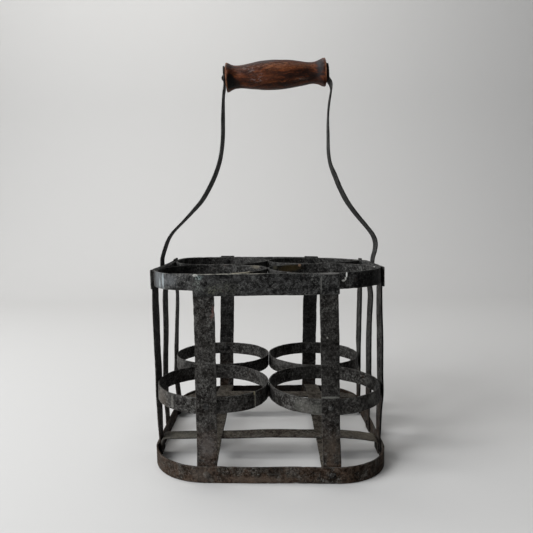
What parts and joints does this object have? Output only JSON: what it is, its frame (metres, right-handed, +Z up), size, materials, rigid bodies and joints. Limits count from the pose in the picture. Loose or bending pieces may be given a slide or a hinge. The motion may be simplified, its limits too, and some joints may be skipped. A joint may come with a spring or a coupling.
{
  "type": "wine bottle carrier",
  "caption": "Square riveted strap-metal carrier for wine bottles, with ringed bottle cells, crossed floor straps and a swinging bail handle with a turned wooden grip.",
  "frame": {"origin": "on the standing surface, under the centre of the cage", "axes": "+Z up, +X to the right seen from the front, -Y the front; the bail pivots run along X"},
  "size_m": [0.2272, 0.221, 0.3895],
  "materials": {
    "hoop_metal": "weathered dark zinc, matt, worn lighter on the edges",
    "ring_metal": "weathered dark zinc, mottled grey",
    "upright_metal": "weathered dark zinc with a few rust specks",
    "floor_metal": "dusty grey, dull",
    "rivet_metal": "dark, hammered",
    "bail_metal": "dark worn strip steel",
    "grip_wood": "old dark red-brown turned hardwood, waxed by use"
  },
  "bodies": {
    "cage": {"bottom_hoop": "hoop_metal", "floor_strip_back": "floor_metal", "floor_strip_front": "floor_metal", "floor_strip_left": "floor_metal", "floor_strip_right": "floor_metal", "lower_ring_back_left": "ring_metal", "lower_ring_back_right": "ring_metal", "lower_ring_front_left": "ring_metal", "lower_ring_front_right": "ring_metal", "pivot_rivet_left": "rivet_metal", "pivot_rivet_right": "rivet_metal", "plate_back": "hoop_metal", "plate_front": "hoop_metal", "plate_left": "hoop_metal", "plate_right": "hoop_metal", "rivets_foot": "rivet_metal", "rivets_lower_rings": "rivet_metal", "rivets_top": "rivet_metal", "stay_left_middle": "upright_metal", "stay_right_middle": "upright_metal", "top_hoop": "hoop_metal", "upper_ring_back_left": "ring_metal", "upper_ring_back_right": "ring_metal", "upper_ring_front_left": "ring_metal", "upper_ring_front_right": "ring_metal", "upright_back_left": "upright_metal", "upright_back_right": "upright_metal", "upright_front_left": "upright_metal", "upright_front_right": "upright_metal", "upright_left_back": "upright_metal", "upright_left_front": "upright_metal", "upright_right_back": "upright_metal", "upright_right_front": "upright_metal"},
    "bail": {"bail_arm_left": "bail_metal", "bail_arm_right": "bail_metal", "grip_rod": "bail_metal"},
    "grip": {"wooden_grip": "grip_wood"}
  },
  "joints": [
    {"name": "bail_swing", "type": "hinge", "parent": "cage", "child": "bail", "pos_m": [0, 0, 0.1715], "axis": [1, 0, 0], "range_deg": [-30, 30]},
    {"name": "grip_spin", "type": "hinge", "parent": "bail", "child": "grip", "pos_m": [0.01138, 0, 0.37389], "axis": [0.9992, 0, 0.0396], "continuous": true}
  ]
}
